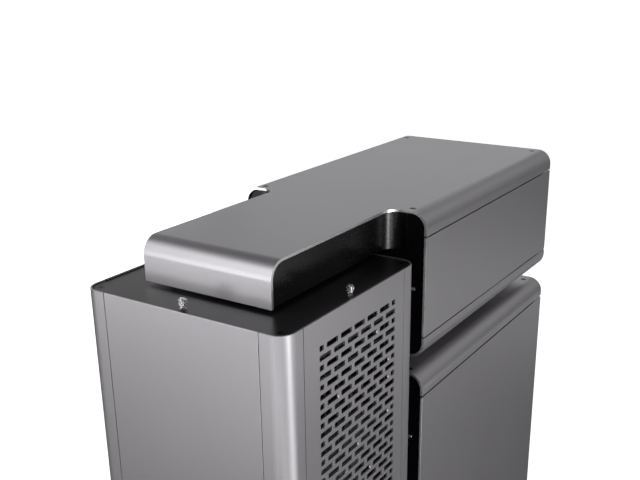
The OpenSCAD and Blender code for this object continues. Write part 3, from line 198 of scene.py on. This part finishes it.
def powder_coated(name, level, rough, peel, sheen=0.3):
    """Black powder coat on steel, with its slight orange peel."""
    finish = Finish(name, Specular_IOR_Level=sheen)
    peel_height = finish.noise(420.0, detail=3.0, uneven=0.55)
    speck = finish.noise(2400.0, detail=1.0)
    colour = finish.shades(speck, *shade_range(level, 0.25))
    roughness = peel_height * 0.1 + (rough - 0.05)
    return finish.paint(Base_Color=colour, Roughness=roughness, Normal=finish.relief(peel_height, peel))


def plated(name, colour, rough):
    """Bright plated or bare metal, slightly uneven."""
    finish = Finish(name, Metallic=1.0)
    wear = finish.noise(650.0, detail=3.0)
    shade = finish.shades(wear, tuple(0.85 * channel for channel in colour), colour)
    roughness = wear * 0.12 + rough
    return finish.paint(Base_Color=shade, Roughness=roughness, Normal=finish.relief(wear, 0.02 * MM))


def brushed(name, level, rough):
    """Metal brushed in one direction."""
    finish = Finish(name, Metallic=1.0)
    hair = finish.noise(500.0, detail=3.0, place=finish.stretched((1.0, 12.0, 0.4)))
    colour = finish.shades(hair, grey(level * 0.8), grey(level))
    roughness = hair * 0.15 + rough
    return finish.paint(Base_Color=colour, Roughness=roughness, Normal=finish.relief(hair, 0.03 * MM))


def moulded(name, level, rough, texture):
    """Moulded plastic or rubber with a fine spark-eroded texture."""
    finish = Finish(name)
    spark = finish.noise(1300.0, detail=2.0, uneven=0.6)
    colour = finish.shades(spark, *shade_range(level, 0.2))
    roughness = spark * 0.12 + rough
    return finish.paint(Base_Color=colour, Roughness=roughness, Normal=finish.relief(spark, texture))


def solder_mask(name):
    """A printed circuit board: matt dark mask with faint tracks beneath."""
    finish = Finish(name)
    tracks = finish.node("ShaderNodeTexBrick", {"offset": 0.5}, {
        "Vector": finish.stretched((300.0, 300.0, 300.0)), "Mortar Size": 0.06,
        "Color1": (0.008, 0.03, 0.016, 1.0), "Color2": (0.01, 0.036, 0.02, 1.0),
        "Mortar": (0.03, 0.085, 0.045, 1.0)}, "Color")
    return finish.paint(Base_Color=tracks, Roughness=finish.noise(200.0) * 0.1 + 0.35)


def smoked_glass(pane):
    """Dark tempered glass with a black enamel border printed on its back."""
    low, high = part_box(pane)
    middle, half = (low + high) / 2, (high - low) / 2
    finish = Finish("smoked_glass_" + pane, Transmission_Weight=1.0, IOR=1.5, Roughness=0.02,
                    Base_Color=(0.11, 0.11, 0.12, 1.0))
    beyond = [(finish.axis(letter) - middle[index]).math("ABSOLUTE") > half[index] - GLASS_BORDER
              for index, letter in ((1, "Y"), (2, "Z"))]
    dots = finish.noise(3000.0, detail=1.0)
    enamel = finish.node("ShaderNodeBsdfPrincipled", None, {
        "Base Color": finish.shades(dots, grey(0.004), grey(0.01)), "Roughness": 0.08, "IOR": 1.5})
    border = beyond[0].math("MAXIMUM", beyond[1])
    return finish.show(finish.node("ShaderNodeMixShader", None, {0: border, 1: finish.lit(), 2: enamel}))


ANODISE_TINT = (1.012, 0.985, 1.03)
SPACE_GREY = bead_blasted("space_grey_bead_blasted", 0.42, 0.36)
CUT_EDGE = milled("bright_cut_edge", 0.9, 0.32)
BLACK = powder_coated("black_powder_coat", 0.003, 0.26, 0.01 * MM, 0.2)
DUCT_BLACK = powder_coated("black_duct_coat", 0.0015, 0.28, 0.003 * MM, 0.42)
CAP_BLACK = powder_coated("black_cap_coat", 0.012, 0.30, 0.03 * MM, 0.5)
BLACK_EDGE = powder_coated("black_coat_edge", 0.008, 0.3, 0.02 * MM)
PLASTIC = moulded("black_moulded_plastic", 0.016, 0.42, 0.06 * MM)
RUBBER = moulded("black_rubber_moulding", 0.012, 0.68, 0.15 * MM)
NICKEL = plated("bright_nickel_plate", (0.62, 0.62, 0.62), 0.10)
HINGE_STEEL = plated("hinge_pin_steel", (0.45, 0.45, 0.46), 0.26)
SCREW_BLACK = plated("black_oxide_steel", (0.035, 0.035, 0.038), 0.3)
BRASS = plated("turned_brass", (0.72, 0.47, 0.19), 0.22)
BUTTON = brushed("brushed_button_face", 0.55, 0.24)
BOARD = solder_mask("solder_mask_board")

CAD_FINISHES = {
    "space_grey_aluminium": SPACE_GREY, "black_steel": BLACK, "bright_nickel": NICKEL,
    "brushed_button_metal": BUTTON, "black_plastic": PLASTIC, "black_rubber": RUBBER, "brass": BRASS,
    "circuit_board": BOARD, "hinge_steel": HINGE_STEEL, "black_screw_steel": SCREW_BLACK,
}
GLASS_BORDER = 9 * MM
COVER_SHEET = 3 * MM
COLUMN_SKIN = 2 * MM
SLOT_CORNER = 1.5 * MM
SLOT_MARGIN = 5 * MM
DOUBLES = 0.01 * MM
SAME_PLANE = math.radians(0.5)
SHARP_EDGE = math.radians(50)
SOFT_BEND = math.radians(35)
SCREW_HEAD = 5.5 * MM
SCREW_HEIGHT = 2 * MM
GAP_SCREW_ACROSS = 113.2 * MM
GAP_SCREW_LEVELS = (440 * MM, 637 * MM)
FRONT_PLATE_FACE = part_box("upper_front_plate")[0].y


def alone(piece):
    """Leaves only this piece selected and active."""
    bpy.ops.object.select_all(action="DESELECT")
    piece.select_set(True)
    bpy.context.view_layer.objects.active = piece


def slot_name(node):
    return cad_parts[node].data.materials[0].name.split(".")[0]


def paint_cad_nodes():
    for name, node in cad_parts.items():
        slot = slot_name(name)
        if slot == "tinted_glass":
            finish = smoked_glass(name)
        else:
            finish = CAD_FINISHES[slot]
        for painted in node.material_slots:
            painted.link = "OBJECT"
            painted.material = finish


def merged_copy(node, name):
    """A CAD node's shape as one closed mesh of flat faces, for finishing."""
    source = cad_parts[node]
    piece = bpy.data.objects.new(name, source.data.copy())
    bpy.context.scene.collection.objects.link(piece)
    alone(piece)
    bpy.ops.object.mode_set(mode="EDIT")
    bpy.ops.mesh.select_all(action="SELECT")
    bpy.ops.mesh.remove_doubles(threshold=DOUBLES)
    bpy.ops.mesh.dissolve_limited(angle_limit=SAME_PLANE)
    bpy.ops.object.mode_set(mode="OBJECT")
    return piece


def mark_cut_faces(piece, thickness):
    """Gives the second finish to the faces where the sheet was cut.

    Such a face has an edge as long as the sheet is thick. Those that look up or down lie in the
    seams, out of the light, and keep the first finish.
    """
    corners = piece.data.vertices
    for face in piece.data.polygons:
        lengths = [(corners[start].co - corners[end].co).length for start, end in face.edge_keys]
        cut = any(abs(length - thickness) < 0.02 * thickness for length in lengths)
        if cut and abs(face.normal.z) <= 0.5:
            face.material_index = 1


def round_corners(piece, radius, sides, chosen):
    """Rounds the edges for which chosen(start, end) is true."""
    mesh = piece.data
    alone(piece)
    bpy.ops.object.mode_set(mode="EDIT")
    bpy.context.tool_settings.mesh_select_mode = (False, True, False)
    bpy.ops.mesh.select_all(action="DESELECT")
    bpy.ops.object.mode_set(mode="OBJECT")
    for edge in mesh.edges:
        edge.select = chosen(*(mesh.vertices[corner].co for corner in edge.vertices))
    bpy.ops.object.mode_set(mode="EDIT")
    bpy.ops.mesh.bevel(offset=radius, segments=sides, affect="EDGES")
    bpy.ops.object.mode_set(mode="OBJECT")


def break_edges(piece, width, sides, finish_slot=-1):
    """Bevels the sharp edges, in the piece's own finish or in that of the slot."""
    bevel = piece.modifiers.new("broken edge", "BEVEL")
    bevel.width = width
    bevel.segments = sides
    bevel.limit_method = "ANGLE"
    bevel.angle_limit = SHARP_EDGE
    bevel.material = finish_slot
    alone(piece)
    bpy.ops.object.modifier_apply(modifier=bevel.name)


def smooth(piece):
    """Smooths the bends and leaves the flat faces flat."""
    alone(piece)
    bpy.ops.object.shade_smooth_by_angle(angle=SOFT_BEND)
    weighted = piece.modifiers.new("flat faces stay flat", "WEIGHTED_NORMAL")
    weighted.keep_sharp = True
    weighted.weight = 100
    bpy.ops.object.modifier_apply(modifier=weighted.name)


def give(piece, *finishes):
    piece.data.materials.clear()
    for finish in finishes:
        piece.data.materials.append(finish)


def placed(piece, node, body):
    """Lets the piece stand for the CAD node, and move with its body."""
    smooth(piece)
    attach(piece, body)
    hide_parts(node)


def dressed(node, width, body, finish, edge_finish, thickness=None):
    """The CAD node's own shape with its edges broken and its cut faces showing as worked metal."""
    piece = merged_copy(node, node + "_dressed")
    give(piece, finish, edge_finish)
    if thickness:
        mark_cut_faces(piece, thickness)
    break_edges(piece, width, 2, 1)
    placed(piece, node, body)


def vent_panel():
    """The brick-pattern panel, its slots rounded at the corners by the punch."""
    node = "column_vent_panel"
    piece = merged_copy(node, node + "_dressed")
    give(piece, SPACE_GREY, CUT_EDGE)
    low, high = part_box(node)

    def slot_corner(start, end):
        across = abs(start.x - end.x) > 0.9 * COLUMN_SKIN and (start - end).length < 1.1 * COLUMN_SKIN
        return across and low.y + SLOT_MARGIN < start.y < high.y - SLOT_MARGIN

    round_corners(piece, SLOT_CORNER, 3, slot_corner)
    placed(piece, node, node)


def pan_screw(name, across, level):
    """A small pan-head screw with a hexagon socket, on the chamber's front plate."""

    def rod(sides, radius, away):
        bpy.ops.mesh.primitive_cylinder_add(
            vertices=sides, radius=radius, depth=SCREW_HEIGHT, rotation=(math.radians(90), 0.0, 0.0),
            location=(across, FRONT_PLATE_FACE - away, level))
        return bpy.context.object

    head = rod(32, SCREW_HEAD / 2, SCREW_HEIGHT / 2)
    bpy.ops.object.transform_apply()
    break_edges(head, 0.35 * SCREW_HEIGHT, 3)
    socket = rod(6, SCREW_HEAD / 4, SCREW_HEIGHT)
    cut = head.modifiers.new("socket", "BOOLEAN")
    cut.object = socket
    alone(head)
    bpy.ops.object.modifier_apply(modifier=cut.name)
    bpy.data.objects.remove(socket, do_unlink=True)
    head.name = name
    give(head, NICKEL)
    smooth(head)
    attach(head, "chassis")


PHOTO_WIDTH = 640
CAMERA_TURN, CAMERA_TILT, CAMERA_ROLL = 32.54, 19.49, -0.45
CAMERA_PLACE = (0.56717, -0.93874, 1.00337)
FOCAL_PIXELS = 888.93
SHIFT_PIXELS = (-17.73, 34.78)

LAMP_AIM = Vector((0.0, -0.05, 0.5))
LAMP_DISTANCE = 2.6
# Each lamp: degrees round from the front, degrees above the level, width, height, power
STUDIO_LAMPS = {
    "front_left_low": (-30, -3, 1.3, 1.2, 18.0),
    "front_left_middle": (-30, 19, 1.3, 1.0, 8.5),
    "front_left_high": (-30, 38, 1.3, 0.9, 8.5),
    "left_high": (-60, 40, 1.0, 1.0, 4.0),
    "right_strip": (55, 0, 0.35, 1.3, 11.0),
    "right_softbox": (80, -4, 0.8, 0.7, 30.0),
    "rear_left_softbox": (-155, 19, 1.6, 1.0, 2.2),
    "rear_left_fill": (-125, 0, 1.0, 1.2, 10.0),
}
# Room light by height of the direction, from level to straight up
ROOM_STOPS = ((0.0, 0.12), (0.15, 0.16), (0.3, 0.39), (0.6, 0.39), (0.7, 0.05))

FLOOR_SIZE = 120.0
FLOOR_GLOW = 0.9
FLOOR_BASE = 0.02
# Each pool of light painted on the floor, glowing only where polished metal mirrors it: x, y, reach,
# level
FLOOR_PAINTED_POOLS = (
    (-0.5, -1.5, 0.7, 1.2), (0.1, -1.7, 0.7, 2.6), (0.7, -0.9, 0.5, 1.3), (0.9, -1.7, 0.8, 2.6),
    (1.0, -0.2, 0.6, 2.3), (-1.5, -1.8, 0.9, 0.6), (1.6, 0.9, 0.9, 1.9), (0.5, 1.8, 0.9, 0.3),
    (2.2, -0.6, 1.0, 2.6), (-0.3, -3.2, 1.3, 2.6),
)


def direction(turn, tilt):
    """The direction at an angle round from the front and one above the level."""
    turn, tilt = math.radians(turn), math.radians(tilt)
    return Vector((math.sin(turn) * math.cos(tilt), -math.cos(turn) * math.cos(tilt), math.sin(tilt)))


def camera_at_photo():
    """The photograph's camera, found from the edges and corners of the case."""
    back = direction(CAMERA_TURN, CAMERA_TILT)
    right = direction(CAMERA_TURN + 90.0, 0.0)
    up = back.cross(right)
    roll = math.radians(CAMERA_ROLL)
    rolled_right = math.cos(roll) * right + math.sin(roll) * up
    rolled_up = math.cos(roll) * up - math.sin(roll) * right
    camera = bpy.data.objects.new("photo_camera", bpy.data.cameras.new("photo_camera"))
    bpy.context.scene.collection.objects.link(camera)
    turned = Matrix((rolled_right, rolled_up, back)).transposed().to_4x4()
    camera.matrix_world = Matrix.Translation(CAMERA_PLACE) @ turned
    lens = camera.data
    lens.sensor_width = 36.0
    lens.lens = FOCAL_PIXELS / PHOTO_WIDTH * lens.sensor_width
    lens.shift_x, lens.shift_y = (pixels / PHOTO_WIDTH for pixels in SHIFT_PIXELS)
    lens.clip_end = 200.0
    bpy.context.scene.camera = camera


def softbox(name, around, above, width, height, power):
    """A softbox that is aimed at the case and isn't seen itself."""
    place = LAMP_AIM + LAMP_DISTANCE * direction(around, above)
    lamp = bpy.data.objects.new(name, bpy.data.lights.new(name, "AREA"))
    bpy.context.scene.collection.objects.link(lamp)
    lamp.data.shape = "RECTANGLE"
    lamp.data.size = width
    lamp.data.size_y = height
    lamp.data.energy = power
    lamp.location = place
    lamp.rotation_euler = (LAMP_AIM - place).to_track_quat("-Z", "Y").to_euler()
    lamp.visible_camera = False


def floor():
    """A pale studio floor. Polished metal sees pools of light painted on it as a glow, standing in for
    the light of softboxes.
    """
    bpy.ops.mesh.primitive_plane_add(size=FLOOR_SIZE)
    plane = bpy.context.object
    plane.name = "studio_floor"
    finish = Finish("pale_studio_floor", Roughness=0.9)
    finish.paint(Base_Color=finish.shades(finish.noise(3.0), grey(0.72), grey(0.76)))
    glow = finish.node("ShaderNodeEmission", None, {"Strength": FLOOR_GLOW})
    seen = finish.node("ShaderNodeAddShader", None, {0: finish.lit(), 1: glow})
    # What polished metal sees on the floor: a faint even glow, with the painted pools of light added to
    # it
    level = FLOOR_BASE
    for x, y, reach, brightness in FLOOR_PAINTED_POOLS:
        across, along = (finish.axis("X") - x) / reach, (finish.axis("Y") - y) / reach
        near = (1.0 - (across * across + along * along)).clamped()
        level = near * near * brightness + level
    painted_pools_glow = finish.node("ShaderNodeEmission", None, {"Color": level})
    glossy_ray = finish.node("ShaderNodeLightPath", output="Is Glossy Ray")
    camera_ray = finish.node("ShaderNodeLightPath", output="Is Camera Ray")
    bounced = finish.node("ShaderNodeMixShader", None, {0: glossy_ray, 1: finish.lit(), 2: painted_pools_glow})
    finish.show(finish.node("ShaderNodeMixShader", None, {0: camera_ray, 1: bounced, 2: seen}))
    give(plane, finish.material)


def studio_world():
    """White behind everything, and a soft room light that is brightest a third of the way up."""
    world = bpy.data.worlds.new("studio_world")
    bpy.context.scene.world = world
    world.use_nodes = True
    nodes = Nodes(world.node_tree)
    nodes.tree.nodes.clear()
    towards = nodes.node("ShaderNodeTexCoord", output="Generated")
    height = nodes.node("ShaderNodeSeparateXYZ", None, {0: towards}, "Z")
    stops = [(position, (*grey(level), 1.0)) for position, level in ROOM_STOPS]
    room = nodes.node("ShaderNodeValToRGB", {"stops": stops}, {"Fac": height}, "Color")
    camera_ray = nodes.node("ShaderNodeLightPath", output="Is Camera Ray")
    colour = nodes.node("ShaderNodeMix", {"data_type": "RGBA"}, {
        "Factor": camera_ray, 6: room, 7: (1.0, 1.0, 1.0, 1.0)}, 2)
    background = nodes.node("ShaderNodeBackground", None, {"Color": colour})
    nodes.set(nodes.tree.nodes.new("ShaderNodeOutputWorld"), "Surface", background)


# Each dressed piece: its node, the body that it moves with, the width of its broken edges in mm,
# and the thickness of its sheet where bright cut edges show
ALUMINIUM_PIECES = (
    ("top_cover", "chassis", 0.35, COVER_SHEET),
    ("upper_bottom_shell", "chassis", 0.35, COVER_SHEET),
    ("lower_top_shell", "chassis", 0.35, COVER_SHEET),
    ("bottom_cover", "chassis", 0.35, COVER_SHEET),
    ("upper_side_panel", "upper_side_panel", 0.3, COVER_SHEET),
    ("lower_side_panel", "lower_side_panel", 0.3, COVER_SHEET),
    ("column_front_panel", "column_front_panel", 0.25, None),
    ("column_rear_plate", "chassis", 0.25, None),
    ("post_front_left", "chassis", 0.3, None),
    ("post_front_right", "chassis", 0.3, None),
    ("post_rear_left", "chassis", 0.3, None),
    ("post_rear_right", "chassis", 0.3, None),
    ("foot_bars", "chassis", 1.0, None),
)
BLACK_PIECES = (
    ("upper_arm_frame", 0.4, DUCT_BLACK), ("lower_arm_frame", 0.4, DUCT_BLACK),
    ("upper_front_plate", 0.3, BLACK), ("lower_front_plate", 0.3, BLACK),
    ("upper_rear_panel", 0.4, BLACK), ("lower_rear_panel", 0.4, BLACK), ("chamber_bridge", 0.5, BLACK),
    ("column_top_plate", 0.3, CAP_BLACK), ("column_bottom_plate", 0.3, CAP_BLACK),
)

camera_at_photo()
bpy.context.scene.view_settings.view_transform = "Standard"
studio_world()
floor()
for name, settings in STUDIO_LAMPS.items():
    softbox(name, *settings)

paint_cad_nodes()
for node, body, width, thickness in ALUMINIUM_PIECES:
    dressed(node, width * MM, body, SPACE_GREY, CUT_EDGE, thickness)
vent_panel()
for node, width, finish in BLACK_PIECES:
    dressed(node, width * MM, "chassis", finish, BLACK_EDGE)
for place in ("front", "right", "left"):
    node = "thumbscrew_" + place
    piece = merged_copy(node, node + "_dressed")
    give(piece, NICKEL)
    placed(piece, node, node)
gap_screw_places = [(side * GAP_SCREW_ACROSS, level) for side in (-1, 1) for level in GAP_SCREW_LEVELS]
for number, (across, level) in enumerate(gap_screw_places, 1):
    pan_screw("gap_screw_%d" % number, across, level)
